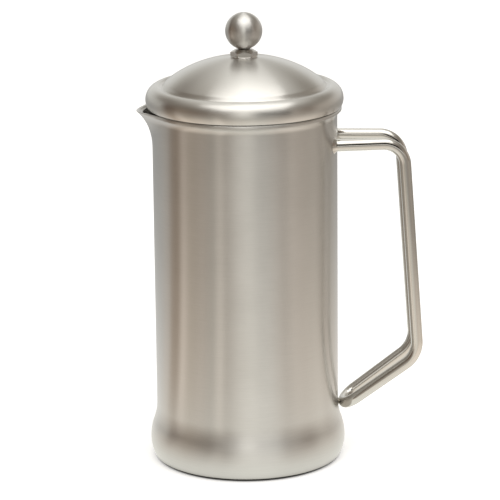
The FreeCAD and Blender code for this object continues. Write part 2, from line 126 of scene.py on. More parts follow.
FILTER_NUT_R = 8.0
SCALLOP_R = 1.2
SCALLOP_PITCH_R = 8.6
SCALLOPS = 12
SUPPORT_Z = 18.0
SUPPORT_R = 42.0
SUPPORT_T = 1.0
SUPPORT_HOLES = ((4.0, 17.0, 8), (5.0, 31.0, 14))
FILTER_R = 45.3
MESH_T = 0.4
MESH_Z = 19.0
MESH_TOP_Z = 23.8
SPRING_TUBE_R = 1.9
SPRING_WIRE_R = 0.35
SPRING_COILS = 216
SPREADER_R = 40.6
SPREADER_SEAT_R = 11.0
SPREADER_SLOPE_R = 15.0
SPREADER_RISE = 1.6
SPREADER_HOLES = ((2.0, 22.0, 12), (2.5, 33.0, 18))
HUB_R = 7.5
HUB_TOP_R = 4.5
HUB_FLANGE_T = 3.0
HUB_HEIGHT = 8.0
FIT_GAP = 0.03
ROD_BORE_R = PLUNGER_ROD_R + FIT_GAP
HOLE_BEVEL = 0.15
PIN_R = 0.005              # a turned piece with a closed middle stops this short of the axis


# ---- mesh helpers -----------------------------------------------------------
SAME_POINT = 0.01          # outline points closer than this are one point


def arc(centre, radius, start_deg, end_deg, steps=12):
    """Points of an arc in the (r, z) plane; angles count from +r towards +z."""
    points = []
    for index in range(steps + 1):
        turn = math.radians(start_deg + (end_deg - start_deg) * index / steps)
        points.append((centre[0] + radius * math.cos(turn), centre[1] + radius * math.sin(turn)))
    return points


def run(start, end, steps):
    """Evenly spaced points along a straight line of an outline."""
    return [
        (start[0] + (end[0] - start[0]) * i / steps, start[1] + (end[1] - start[1]) * i / steps)
        for i in range(steps + 1)
    ]


def tidy_outline(points):
    """The same outline without repeated points."""
    kept = [points[0]]
    for point in points[1:]:
        if math.dist(point, kept[-1]) > SAME_POINT:
            kept.append(point)
    return kept


def make_object(name, mesh_data, material, smooth_deg=40):
    """A smooth object from a bmesh, with its sharp edges marked."""
    bmesh.ops.remove_doubles(mesh_data, verts=mesh_data.verts, dist=1e-7)
    bmesh.ops.recalc_face_normals(mesh_data, faces=mesh_data.faces)
    mesh = bpy.data.meshes.new(name)
    mesh_data.to_mesh(mesh)
    mesh_data.free()
    mesh.shade_smooth()
    mesh.set_sharp_from_angle(angle=math.radians(smooth_deg))
    mesh.materials.append(material)
    piece = bpy.data.objects.new(name, mesh)
    bpy.context.scene.collection.objects.link(piece)
    return piece


def new_corner(data, point):
    """A vertex at a point given in millimetres."""
    return data.verts.new([v * MM for v in point])


def circle(data, radius, z, count, centre=(0.0, 0.0)):
    """Corners of a round edge lying flat at height z."""
    turns = [2 * math.pi * index / count for index in range(count)]
    return [
        new_corner(data, (centre[0] + radius * math.cos(turn), centre[1] + radius * math.sin(turn), z))
        for turn in turns
    ]


def join_loops(data, first, second):
    """A band of faces between two closed loops of corners."""
    for i in range(len(first)):
        data.faces.new((first[i - 1], first[i], second[i], second[i - 1]))


def turned(data, outline, angle, warp=None):
    """The corners of an outline of (r, z) points at one angle round the axis; warp may move each."""
    points = [(r * math.cos(angle), r * math.sin(angle), z) for r, z in outline]
    if warp:
        points = [warp(point) for point in points]
    return [new_corner(data, point) for point in points]


def lathe(name, outline, material, segments=192, warp=None, smooth_deg=40, angles=None):
    """Turns a closed outline of (r, z) points in millimetres about the axis; warp may move each point."""
    outline = tidy_outline(outline)
    if math.dist(outline[0], outline[-1]) < SAME_POINT:
        outline = outline[:-1]
    if angles is None:
        angles = [2 * math.pi * i / segments for i in range(segments)]
    data = bmesh.new()
    rings = [turned(data, outline, angle, warp) for angle in angles]
    for ring, following in zip(rings, rings[1:] + rings[:1]):
        join_loops(data, ring, following)
    return make_object(name, data, material, smooth_deg)


def tube(name, path, radius, material, sides=32, closed=False, guides=None):
    """A round bar along a path of points in millimetres; guides fix the way its section is turned."""
    data = bmesh.new()
    points = [Vector(p) for p in path]
    count = len(points)
    heading = (points[1] - points[0]).normalized()
    across = heading.orthogonal().normalized()
    rings = []
    for index, point in enumerate(points):
        before = points[index - 1] if index or closed else point
        after = points[(index + 1) % count] if index + 1 < count or closed else point
        new_heading = (after - before).normalized()
        across = guides[index] if guides else heading.rotation_difference(new_heading) @ across
        across = (across - new_heading * across.dot(new_heading)).normalized()
        heading = new_heading
        up = heading.cross(across)
        ring = []
        for side in range(sides):
            turn = 2 * math.pi * side / sides
            offset = across * math.cos(turn) + up * math.sin(turn)
            ring.append(new_corner(data, point + offset * radius))
        rings.append(ring)
    for ring, following in zip(rings, rings[1:]):
        join_loops(data, ring, following)
    if closed:
        join_loops(data, rings[-1], rings[0])
    else:
        data.faces.new(rings[0][::-1])
        data.faces.new(rings[-1])
    return make_object(name, data, material, 50)


def drilled_plate(name, centre_low, centre_high, outer_r, hole_rings, material):
    """A disc with rings of drilled holes in its flat outer part.

    The centre is given by its lower and upper outlines, both from the bore out to the flat part.
    hole_rings holds (hole radius, pitch radius, count, first angle in degrees).
    """
    segments = 96
    hole_sides = 24
    data = bmesh.new()
    levels = []
    for outline, side in ((centre_low, -1), (centre_high, 1)):
        loops = [circle(data, r, z, segments) for r, z in outline]
        for inner, outer in zip(loops, loops[1:]):
            join_loops(data, inner, outer)
        z = outline[-1][1]
        rim = circle(data, outer_r - HOLE_BEVEL, z, segments)
        outlines = [loops[-1], rim]
        mouths = []
        for hole_r, pitch_r, count, first_deg in hole_rings:
            for index in range(count):
                turn = math.radians(first_deg) + 2 * math.pi * index / count
                centre = (pitch_r * math.cos(turn), pitch_r * math.sin(turn))
                mouth = circle(data, hole_r + HOLE_BEVEL, z, hole_sides, centre)
                throat = circle(data, hole_r, z - side * HOLE_BEVEL, hole_sides, centre)
                join_loops(data, mouth, throat)
                outlines.append(mouth)
                mouths.append(throat)
        edges = []
        for loop in outlines:
            for pair in zip(loop, loop[1:] + loop[:1]):
                edges.append(data.edges.get(pair) or data.edges.new(pair))
        bmesh.ops.triangle_fill(data, use_beauty=True, use_dissolve=False, edges=edges)
        side_loop = circle(data, outer_r, z - side * HOLE_BEVEL, segments)
        join_loops(data, rim, side_loop)
        levels.append((loops[0], side_loop, mouths))
    (low_bore, low_side, low_mouths), (high_bore, high_side, high_mouths) = levels
    join_loops(data, low_bore, high_bore)
    join_loops(data, low_side, high_side)
    for low, high in zip(low_mouths, high_mouths):
        join_loops(data, low, high)
    return make_object(name, data, material, 30)


# ---- materials --------------------------------------------------------------
class Nodes:
    """Small helper that adds and links the nodes of one tree."""

    def __init__(self, tree):
        self.tree = tree

    def link(self, source, target):
        self.tree.links.new(source, target)

    def feed(self, node, inputs):
        """Gives a node's inputs constants, or other nodes' outputs; a colour may be an RGB triple."""
        for key, value in inputs.items():
            socket = node.inputs[key]
            if isinstance(value, bpy.types.NodeSocket):
                self.link(value, socket)
            else:
                socket.default_value = (*value, 1) if socket.type == "RGBA" else value

    def add(self, kind, inputs, **settings):
        node = self.tree.nodes.new(kind)
        for key, value in settings.items():
            setattr(node, key, value)
        self.feed(node, inputs)
        return node

    def math(self, operation, *values, clamp=False):
        return self.add("ShaderNodeMath", dict(enumerate(values)), operation=operation,
                        use_clamp=clamp).outputs[0]

    def average(self, first, second, share=0.5):
        """The mean of two values, the first with the given share."""
        return self.math("ADD", self.math("MULTIPLY", first, share),
                         self.math("MULTIPLY", second, 1 - share))

    def remap(self, value, old, new, kind="LINEAR"):
        """Remaps a value from one range to another."""
        inputs = {"Value": value, "From Min": old[0], "From Max": old[1], "To Min": new[0], "To Max": new[1]}
        return self.add("ShaderNodeMapRange", inputs, interpolation_type=kind).outputs[0]

    def scale(self, value, low, high):
        """Remaps a 0 to 1 value to the range from low to high."""
        return self.remap(value, (0, 1), (low, high))

    def rise(self, value, start, end):
        """Goes smoothly from 0 at start to 1 at end."""
        return self.remap(value, (start, end), (0, 1), "SMOOTHSTEP")

    def noise(self, vector, scale, detail=2.0, roughness=0.5):
        inputs = {"Vector": vector, "Scale": scale, "Detail": detail, "Roughness": roughness}
        return self.add("ShaderNodeTexNoise", inputs).outputs["Fac"]

    def mix(self, factor, first, second):
        """Blends two colours."""
        return self.add("ShaderNodeMix", {0: factor, 6: first, 7: second}, data_type="RGBA").outputs[2]

    def place(self, space="Object"):
        """The shaded point."""
        return self.add("ShaderNodeTexCoord", {}).outputs[space]

    def split(self, vector):
        """The three parts of a vector."""
        return self.add("ShaderNodeSeparateXYZ", {0: vector}).outputs

    def length(self, vector):
        return self.add("ShaderNodeVectorMath", {0: vector}, operation="LENGTH").outputs["Value"]


class MaterialNodes(Nodes):
    """The nodes of a new material with a Principled shader."""

    def __init__(self, name):
        self.material = bpy.data.materials.new(name)
        self.material.use_nodes = True
        super().__init__(self.material.node_tree)
        self.tree.nodes.clear()
        self.output = self.add("ShaderNodeOutputMaterial", {})
        self.shader = self.add("ShaderNodeBsdfPrincipled", {})
        self.show(self.shader)

    def show(self, node):
        """Makes a node the surface of the material."""
        self.link(node.outputs[0], self.output.inputs[0])

    def round_grain(self, along, across):
        """Coordinates that make noise run in fine lines round the Z axis."""
        x, y, z = self.split(self.place())
        square = self.math("ADD", self.math("MULTIPLY", x, x), self.math("MULTIPLY", y, y))
        return self.add("ShaderNodeCombineXYZ", {
            0: self.math("MULTIPLY", self.math("ARCTAN2", y, x), along),
            1: self.math("MULTIPLY", self.math("SQRT", square), across),
            2: self.math("MULTIPLY", z, across),
        }).outputs[0]

    def finish(self, colour, roughness, bump, strength, distance):
        """Gives the shader its colour, roughness and bump, and returns the material."""
        normal = self.add("ShaderNodeBump", {"Strength": strength, "Distance": distance, "Height": bump})
        self.feed(self.shader, {"Base Color": colour, "Roughness": roughness, "Normal": normal.outputs[0]})
        return self.material


GRAIN_PER_M = 9000.0
WEAVE_PER_M = 7000.0
QUARTER_TURN = 0.25        # turns the stretched highlights across the grain


def brushed_steel(name, dark, light, rough_low, rough_high, anisotropic):
    """Satin stainless steel, brushed round the Z axis, with faint cloudy variation."""
    nodes = MaterialNodes(name)
    tangent = nodes.add("ShaderNodeTangent", {}, direction_type="RADIAL", axis="Z")
    nodes.feed(nodes.shader, {"Metallic": 1.0, "Anisotropic": anisotropic,
                              "Anisotropic Rotation": QUARTER_TURN, "Tangent": tangent.outputs[0]})
    fine = nodes.noise(nodes.round_grain(3.0, GRAIN_PER_M), 1.0, 3.0, 0.6)
    coarse = nodes.noise(nodes.round_grain(4.0, GRAIN_PER_M / 6), 1.0, 3.0, 0.6)
    lines = nodes.average(fine, coarse)
    clouds = nodes.noise(nodes.place(), 38.0, 3.0, 0.55)
    blend = nodes.average(lines, clouds, 0.6)
    return nodes.finish(nodes.mix(blend, dark, light), nodes.scale(blend, rough_low, rough_high),
                        lines, 0.06, 0.0001)


def polished_steel(name, dark, light, rough_low, rough_high):
    """Bright drawn steel with faint polishing marks."""
    nodes = MaterialNodes(name)
    nodes.feed(nodes.shader, {"Metallic": 1.0})
    marks = nodes.noise(nodes.place(), 900.0, 4.0, 0.6)
    clouds = nodes.noise(nodes.place(), 60.0, 2.0, 0.5)
    blend = nodes.average(marks, clouds)
    return nodes.finish(nodes.mix(blend, dark, light), nodes.scale(blend, rough_low, rough_high),
                        marks, 0.03, 0.00005)


def woven_mesh():
    """Fine woven wire: two crossing sets of threads, with painted shade in the gaps between them."""
    nodes = MaterialNodes("mesh_steel")
    nodes.feed(nodes.shader, {"Metallic": 1.0})
    x, y, z = nodes.split(nodes.place())
    threads = []
    for first, second in ((x, y), (y, z)):
        wave = nodes.math("SINE", nodes.math("MULTIPLY", first, WEAVE_PER_M))
        other = nodes.math("SINE", nodes.math("MULTIPLY", second, WEAVE_PER_M))
        threads.append(nodes.math("ABSOLUTE", nodes.math("MULTIPLY", wave, other)))
    weave = nodes.math("MAXIMUM", *threads, clamp=True)
    roughness = nodes.scale(nodes.noise(nodes.place(), 300.0), 0.28, 0.42)
    # the dark colour is painted shade in the gaps between the threads
    return nodes.finish(nodes.mix(weave, (0.16, 0.16, 0.155), (0.60, 0.59, 0.57)), roughness,
                        weave, 0.4, 0.0001)


def nylon():
    """Pale natural plastic with a slight mottle."""
    nodes = MaterialNodes("plastic")
    nodes.feed(nodes.shader, {"Subsurface Weight": 0.1, "Subsurface Radius": (0.002, 0.002, 0.0015)})
    mottle = nodes.noise(nodes.place(), 700.0, 3.0)
    return nodes.finish(nodes.mix(mottle, (0.80, 0.79, 0.74), (0.88, 0.87, 0.83)),
                        nodes.scale(mottle, 0.38, 0.52), mottle, 0.05, 0.0001)


SATIN = brushed_steel("satin_steel", (0.49, 0.48, 0.455), (0.72, 0.705, 0.675), 0.22, 0.39, 0.94)
LID_SATIN = brushed_steel("lid_steel", (0.57, 0.555, 0.52), (0.66, 0.645, 0.61), 0.24, 0.34, 0.90)
LINER = brushed_steel("liner_steel", (0.50, 0.49, 0.47), (0.60, 0.59, 0.57), 0.25, 0.38, 0.5)
POLISHED = polished_steel("polished_steel", (0.56, 0.54, 0.50), (0.66, 0.64, 0.60), 0.07, 0.14)
BRIGHT = polished_steel("bright_steel", (0.60, 0.58, 0.55), (0.70, 0.68, 0.65), 0.04, 0.08)
SPRING = polished_steel("spring_steel", (0.46, 0.46, 0.45), (0.56, 0.56, 0.55), 0.20, 0.32)
MESH = woven_mesh()
PLASTIC = nylon()


# ---- pot --------------------------------------------------------------------
def s_curve(top, bottom, inset):
    """Two equal tangent arcs from one upright wall to another, moved in by inset."""
    side = 1 if bottom[0] > top[0] else -1
    drop = top[1] - bottom[1]
    sweep = 2 * math.atan(abs(bottom[0] - top[0]) / drop)
    radius = drop / (2 * math.sin(sweep))
    degrees = math.degrees(sweep)
    steps = 14
    upper = (top[0] + side * radius, top[1])
    lower = (bottom[0] - side * radius, bottom[1])
    if side > 0:
        return (arc(upper, radius + inset, 180, 180 + degrees, steps)
                + arc(lower, radius - inset, degrees, 0, steps))
    return (arc(upper, radius - inset, 0, -degrees, steps)
            + arc(lower, radius + inset, 180 - degrees, 180, steps))


def rim_outline(inset, low_z, steps):
    """The flare under the lip and the straight wall below it, moved in by inset."""
    lip_r = RIM_R - inset
    centre = (BODY_R + FLARE_R, FLARE_Z)
    radius = FLARE_R + inset
    flare_deg = math.degrees(math.acos((centre[0] - lip_r) / radius))
    flare = arc(centre, radius, 180 - flare_deg, 180, 12)
    return flare + run((BODY_R - inset, FLARE_Z), (BODY_R - inset, low_z), steps)


def pot_radius(z):
    """Outside radius of the upper pot at a height."""
    if z <= FLARE_Z:
        return BODY_R
    rise = min(z - FLARE_Z, FLARE_R * 0.999)
    return min(RIM_R, BODY_R + FLARE_R - math.sqrt(FLARE_R ** 2 - rise ** 2))


def spout(point):
    """Pulls the rim out to a V on the -X side and lets the lip fall towards its tip."""
    x, y, z = point
    if z <= SPOUT_START_Z or x > 0:
        return point
    wall_r = pot_radius(min(z, RIM_Z))
    rise = min(z, RIM_Z) - SPOUT_START_Z
    tip_r = BODY_R + SPOUT_CURVE_R - math.sqrt(SPOUT_CURVE_R ** 2 - rise ** 2)
    half = math.acos(min(1.0, wall_r / max(tip_r, wall_r * 1.00001)))
    turn = abs(math.atan2(y, -x))
    nose = SPOUT_NOSE * half
    half += nose
    soft = math.sqrt(turn ** 2 + nose ** 2)
    if soft < half:
        grow = 1 / math.cos(half - soft)
        x, y = x * grow, y * grow
    fall = max(0.0, -x - SPOUT_FALL_X) * SPOUT_DROP
    blend = max(0.0, min(1.0, (z - SPOUT_FALL_Z) / (RIM_Z - SPOUT_FALL_Z)))
    return (x, y, z - fall * blend)


def spout_angles():
    """Angles round the pot, closer together at the spout."""
    fine, coarse = 96, 168
    fine_half = math.radians(34)
    angles = [math.pi - fine_half + 2 * fine_half * i / fine for i in range(fine)]
    rest = 2 * math.pi - 2 * fine_half
    angles += [math.pi + fine_half + rest * i / coarse for i in range(coarse)]
    return angles


def outer_shell():
    """The outer wall, with a rounded lip that covers the joint with the liner."""
    foot_deg = math.degrees(math.asin((SWELL_Z - FOOT_Z - 0.5) / FOOT_CURVE_R))
    foot = arc((SWELL_R - FOOT_CURVE_R, SWELL_Z), FOOT_CURVE_R, 0, -foot_deg, 16)
    foot_end = foot[-1]
    lip = arc((RIM_R - SHEET, RIM_Z - SHEET), SHEET, 90, 0, 8)
    outline = [(RIM_R - SHEET - 0.1, RIM_Z - 0.05)] + lip
    outline += rim_outline(0, SWELL_TOP_Z, 60)
    outline += s_curve((BODY_R, SWELL_TOP_Z), (SWELL_R, SWELL_Z), 0)
    outline += foot
    outline += arc((foot_end[0] - 0.6, FOOT_Z + FOOT_EDGE_R), FOOT_EDGE_R, -20, -90, 5)
    outline += [(FLANGE_R, FOOT_Z), (FLANGE_R, FOOT_Z + SHEET), (foot_end[0] - 1.0, FOOT_Z + SHEET)]
    outline += s_curve((BODY_R, SWELL_TOP_Z), (SWELL_R, SWELL_Z), SHEET)[::-1]
    outline += rim_outline(SHEET, SWELL_TOP_Z, 30)[::-1]
    return lathe("pot_outer_shell", outline, SATIN, warp=spout, angles=spout_angles())


def inner_liner():
    """The inner wall and floor of the pot."""
    outlines = []
    for inset in (SHEET, 2 * SHEET):
        into = inset - 2 * SHEET
        wall_r = LINER_R - into
        floor_z = LINER_FLOOR_Z + into
        corner_r = LINER_CORNER_R - into
        edge = rim_outline(inset, SHOULDER_TOP_Z, 6)
        edge += s_curve((BODY_R, SHOULDER_TOP_Z), (LINER_R + 2 * SHEET, SHOULDER_Z), inset)
        edge += run((wall_r, SHOULDER_Z), (wall_r, floor_z + corner_r), 30)
        edge += arc((wall_r - corner_r, floor_z + corner_r), corner_r, 0, -90)
        edge += run((wall_r - corner_r, floor_z), (4 * PIN_R, floor_z), 12)
        outlines.append(edge)
    outer, inner = outlines
    top_r = RIM_R - SHEET
    lip = [(top_r - 0.05, RIM_Z - 0.12), (top_r - 0.4, RIM_Z - 0.1), (top_r - SHEET, RIM_Z - 0.5)]
    outline = [(top_r - 0.05, RIM_Z - 1.0)] + lip + inner + outer[::-1]
    return lathe("pot_inner_liner", outline, LINER, warp=spout, angles=spout_angles())


def base_plate():
    """Disc under the foot with two pressed rings."""
    edge_r = BASE_PLATE_R
    top_z = FOOT_Z - 0.02
    bevel = 0.3
    outline = [(4 * PIN_R, 0.0)]
    for ring_r in (20.0, 34.0):
        outline += [(ring_r - bevel, 0), (ring_r, bevel), (ring_r + 2, bevel), (ring_r + 2 + bevel, 0)]
    outline += [(edge_r - bevel, 0), (edge_r, bevel), (edge_r, top_z), (4 * PIN_R, top_z)]
    return lathe("pot_base_plate", outline, SATIN)


# ---- handle -----------------------------------------------------------------
def rounded_path(points, radii, steps=16):
    """Straight runs joined by tangent arcs at the inner points."""
    path = [points[0]]
    for before, corner, after, radius in zip(points, points[1:], points[2:], radii):
        into = (corner - before).normalized()
        out = (after - corner).normalized()
        turn = into.angle(out)
        reach = radius * math.tan(turn / 2)
        normal = (out - into).normalized()
        centre = corner + normal * (radius / math.cos(turn / 2))
        arc_start = corner - into * reach
        for index in range(steps + 1):
            part = turn * index / steps
            spoke = (arc_start - centre) * math.cos(part) + into * radius * math.sin(part)
            path.append(centre + spoke)
    path.append(points[-1])
    return path


def handle_loop():
    """Tip of the bottom loop, the way its legs point, and half the angle they open by."""
    tip = Vector((HANDLE_TIP[0], 0, HANDLE_TIP[1]))
    lower_leg = Vector((HANDLE_BOTTOM[0], 0, HANDLE_BOTTOM[1])) - tip
    spread = math.atan2(HANDLE_HALF_GAP - HANDLE_LOOP_R, lower_leg.length - HANDLE_LOOP_R)
    return tip, lower_leg.normalized(), spread


def handle_corners(side):
    """Corners of one rod's centre line, from inside the pot's wall to the bottom loop."""
    tip, leg_way, spread = handle_loop()
    loop_start = tip + leg_way * HANDLE_LOOP_R * (1 - math.sin(spread))
    loop_start.y = side * HANDLE_LOOP_R * math.cos(spread)
    y = side * HANDLE_HALF_GAP
    return [
        Vector((HANDLE_ROOT_X, side * HANDLE_POT_HALF_GAP, HANDLE_TOP[1])),
        Vector((HANDLE_TOP[0], y, HANDLE_TOP[1])),
        Vector((HANDLE_BOTTOM[0], y, HANDLE_BOTTOM[1])),
        loop_start,
    ]


def handle_rod():
    """One bent rod: down one side, round the bottom loop and back up the other."""
    bends = (TOP_BEND_R, BOTTOM_BEND_R)
    near = rounded_path(handle_corners(-1), bends)
    far = rounded_path(handle_corners(1), bends)
    tip, leg_way, spread = handle_loop()
    centre = tip + leg_way * HANDLE_LOOP_R
    loop = []
    steps = 24
    for index in range(1, steps):
        turn = spread + (math.pi - 2 * spread) * index / steps
        spoke = Vector((0, -math.cos(turn), 0)) - leg_way * math.sin(turn)
        loop.append(centre + spoke * HANDLE_LOOP_R)
    return tube("handle", near + loop + far[::-1], ROD_R, POLISHED)


def wall_reach(corner, heading):
    """Distance from a corner along a heading to the pot's wall."""
    flat = heading.x ** 2 + heading.y ** 2
    middle = (corner.x * heading.x + corner.y * heading.y) / flat
    past = (corner.x ** 2 + corner.y ** 2 - BODY_R ** 2) / flat
    return math.sqrt(max(0.0, middle ** 2 - past)) - middle


def weld(start, heading, foot_r, end_r, end_reach, data):
    """Hollow fillet round a rod, from the pot's wall to end_reach along the rod."""
    across = heading.orthogonal().normalized()
    up = heading.cross(across)
    loops = []
    steps = 8
    sides = 40
    for step in range(steps + 1):
        part = step / steps
        radius = end_r + (foot_r - end_r) * (1 - part) ** 2
        loop = []
        for index in range(sides):
            turn = 2 * math.pi * index / sides
            corner = start + (across * math.cos(turn) + up * math.sin(turn)) * radius
            wall = wall_reach(corner, heading)
            reach = wall + (end_reach - wall) * part
            loop.append(new_corner(data, corner + heading * reach))
        loops.append(loop)
    for loop, following in zip(loops, loops[1:]):
        join_loops(data, loop, following)


def upper_handle_welds():
    """The fillets where the two rod ends meet the pot."""
    data = bmesh.new()
    for side in (-1, 1):
        start, corner = handle_corners(side)[:2]
        heading = (corner - start).normalized()
        end_reach = wall_reach(start, heading) + WELD_LENGTH / 2
        weld(start, heading, WELD_R, ROD_R, end_reach, data)
    return make_object("weld_fillets", data, POLISHED)


def lower_handle_weld():
    """The weld spot between the bottom loop and the swollen foot."""
    data = bmesh.new()
    start = Vector((BODY_R - 1, 0, HANDLE_TIP[1]))
    end_reach = HANDLE_TIP[0] - ROD_R * 0.8 - start.x
    weld(start, Vector((1, 0, 0)), WELD_SPOT_R, WELD_SPOT_END_R, end_reach, data)
    return make_object("weld_spot", data, POLISHED)


# ---- lid --------------------------------------------------------------------
def hermite(start, end, slope_in, slope_out, steps=10):
    """Smooth curve between two outline points with given slopes."""
    points = []
    for index in range(1, steps + 1):
        t = index / steps
        h00 = 2 * t ** 3 - 3 * t ** 2 + 1
        h10 = t ** 3 - 2 * t ** 2 + t
        h01 = 3 * t ** 2 - 2 * t ** 3
        h11 = t ** 3 - t ** 2
        points.append(tuple(
            h00 * start[i] + h10 * slope_in[i] + h01 * end[i] + h11 * slope_out[i] for i in range(2)
        ))
    return points


def lid_outline(inset):
    """The lid's section from the bush hole out to the turned-in edge, moved in by inset."""
    a, b = DOME_A - inset, DOME_B - inset
    first = math.acos(LID_FLAT_R / a)
    last = math.acos((DOME_END_R - 0.6 * inset) / a)
    points = []
    steps = 40
    for index in range(steps + 1):
        turn = first + (last - first) * index / steps
        points.append((a * math.cos(turn), DOME_CENTRE_Z + b * math.sin(turn)))
    flat_z = points[0][1]
    points = run((LID_HOLE_R, flat_z), points[0], 6) + points
    slope = Vector((a * math.sin(last), -b * math.cos(last))).normalized() * 2
    valley = (VALLEY[0], VALLEY[1] - inset)
    crest = (CREST[0], CREST[1] - inset)
    points += hermite(points[-1], valley, slope, (2, 0)) + hermite(valley, crest, (2, 0), (2, 0))
    half_w = BEAD_R - CREST[0] - inset
    half_h = CREST[1] - BEAD_Z - inset
    steps = 24
    for index in range(1, steps + 1):
        turn = math.radians(90 - 90 * index / steps)
        points.append((CREST[0] + half_w * math.cos(turn), BEAD_Z + half_h * math.sin(turn)))
    low_z = RIM_Z + LID_GAP + inset
    tube_r = BEAD_TUBE_R - inset
    under_deg = math.degrees(math.asin((BEAD_Z - low_z - 0.35) / tube_r))
    points += arc((BEAD_R - BEAD_TUBE_R, BEAD_Z), tube_r, 0, -under_deg, 12)
    end = points[-1]
    points += [(end[0] - 0.12, low_z + 0.12), (end[0] - 0.4, low_z)]
    points.append((SKIRT_R + 0.2, low_z))
    return points


def lid_shell():
    """The dome and its rolled edge, one sheet."""
    return lathe("lid_dome", lid_outline(0) + lid_outline(SHEET)[::-1], LID_SATIN, segments=256)


def slot_angles(half_deg):
    """Angles in degrees round the skirt, with three at every slot: its two sides and its middle."""
    marks = []
    for turn in SLOT_TURNS_DEG:
        marks += [180 + turn - half_deg, 180 + turn, 180 + turn + half_deg]
    between = [a for a in range(0, 360, 2) if all(abs(a - 180 - t) > half_deg + 1 for t in SLOT_TURNS_DEG)]
    return sorted(marks + between)


def lid_insert():
    """Pan under the lid: a disc and a skirt with a row of pouring slots on the spout side."""
    disc_z = RIM_Z + LID_GAP + SHEET
    skirt_in = SKIRT_R - SHEET
    levels = [disc_z - 0.4, SLOT_Z + SLOT_HEIGHT, SLOT_Z, SKIRT_Z + 0.3]
    outline = [(LID_HOLE_R, disc_z + SHEET), (LID_HOLE_R, disc_z)]
    outline += run((LID_HOLE_R, disc_z), (skirt_in - 0.4, disc_z), 8)
    inner_first = len(tidy_outline(outline)) + 1
    outline += [(skirt_in, z) for z in levels]
    outline += arc((SKIRT_R - SHEET / 2, SKIRT_Z + 0.4), SHEET / 2, 180, 360, 8)[1:-1]
    outer_first = len(tidy_outline(outline)) + 1
    outline += [(SKIRT_R, z) for z in levels[::-1]]
    outline += [(SKIRT_R, disc_z), (INSERT_R - 0.1, disc_z), (INSERT_R, disc_z + 0.1)]
    outline += [(INSERT_R, disc_z + SHEET - 0.1), (INSERT_R - 0.1, disc_z + SHEET)]
    outline = tidy_outline(outline)
    half_deg = math.degrees(math.asin(SLOT_WIDTH / 2 / SKIRT_R))
    angles = slot_angles(half_deg)
    data = bmesh.new()
    loops = [turned(data, outline, math.radians(angle)) for angle in angles]
    count = len(outline)
    open_inner, open_outer = inner_first, outer_first + 1
    next_angles = angles[1:] + [angles[0] + 360]
    for ring, following, angle, next_angle in zip(loops, loops[1:] + loops[:1], angles, next_angles):
        middle = (angle + next_angle) / 2
        in_slot = any(abs(middle - 180 - turn) < half_deg for turn in SLOT_TURNS_DEG)
        for j in range(count):
            if in_slot and j in (open_inner, open_outer):
                continue
            k = (j + 1) % count
            data.faces.new((ring[j], following[j], following[k], ring[k]))
        if in_slot:
            top = (open_inner, open_outer + 1)
            low = (open_inner + 1, open_outer)
            for inner, outer in (top, low):
                data.faces.new((ring[inner], following[inner], following[outer], ring[outer]))
        if any(abs(abs(angle - 180 - turn) - half_deg) < 0.01 for turn in SLOT_TURNS_DEG):
            data.faces.new((ring[open_inner], ring[open_inner + 1], ring[open_outer], ring[open_outer + 1]))
    return make_object("lid_pan", data, LINER)


def hexagon_warp(cone_z=None):
    """Warp that trims a turned piece to a hexagon, with its corners cut back by an upper cone."""
    def trim(point):
        x, y, z = point
        radius = math.hypot(x, y)
        turn = math.degrees(math.atan2(y, x)) % 60 - 30
        limit = min(HEX_FLATS / 2 / math.cos(math.radians(turn)), HEX_BLUNT_R)
        if radius > limit:
            x, y = x * limit / radius, y * limit / radius
            radius = limit
        if cone_z and radius > HEX_CHAMFER_R:
            z = min(z, cone_z - (radius - HEX_CHAMFER_R) * math.tan(math.radians(HEX_CHAMFER_DEG)))
        return (x, y, z)
    return trim


def thread(radius, low_z, high_z):
    """Outline points of a fine thread, from low to high."""
    points = []
    turns = round((high_z - low_z) / THREAD_PITCH)
    depth = THREAD_PITCH * 0.5
    for index in range(turns):
        z = low_z + (high_z - low_z) * index / turns
        points += [(radius - depth, z), (radius, z + 0.4 * THREAD_PITCH), (radius, z + 0.6 * THREAD_PITCH)]
    points.append((radius - depth, high_z))
    return points


def lid_bush():
    """Bush with a chamfered hexagon head and a threaded stem."""
    stem_end_z = RIM_Z + LID_GAP
    outline = [(BUSH_BORE_R, BUSH_TOP_Z - 0.2), (BUSH_BORE_R, BUSH_BOTTOM_Z)]
    outline += thread(BUSH_R, BUSH_BOTTOM_Z, stem_end_z)
    outline += [(BUSH_R, stem_end_z + 0.2)]
    outline += run((BUSH_R, BUSH_HEAD_Z), (HEX_CORNER_R - 0.2, BUSH_HEAD_Z), 4)
    outline += [(HEX_CORNER_R, BUSH_HEAD_Z + 0.2)]
    outline += run((HEX_CORNER_R, BUSH_HEAD_Z + 1.0), (HEX_CORNER_R, BUSH_TOP_Z), 3)
    outline += run((HEX_CORNER_R, BUSH_TOP_Z), (HEX_CHAMFER_R, BUSH_TOP_Z), 8)
    outline += [(BUSH_BORE_R + 0.2, BUSH_TOP_Z)]
    return lathe("lid_guide_bush", outline, BRIGHT, 144, hexagon_warp(BUSH_TOP_Z), smooth_deg=22)


def washer(name, outer_r, top_z):
    """A bright washer with a well-rounded upper edge."""
    low_z = top_z - WASHER_T
    round_r = WASHER_T - 0.1
    outline = [(LID_HOLE_R, low_z), (outer_r - 0.05, low_z), (outer_r, low_z + 0.05)]
    outline += arc((outer_r - round_r, low_z + 0.1), round_r, 0, 90, 8)
    outline += [(LID_HOLE_R, top_z)]
    return lathe(name, outline, BRIGHT, 96)


def lid_washer():
    """The bright washer under the hexagon."""
    return washer("lid_bright_washer", WASHER_R, BUSH_HEAD_Z)


def bush_washer():
    """The washer between the pan and the nut."""
    return washer("bush_lower_washer", LOWER_WASHER_R, RIM_Z + LID_GAP + SHEET)


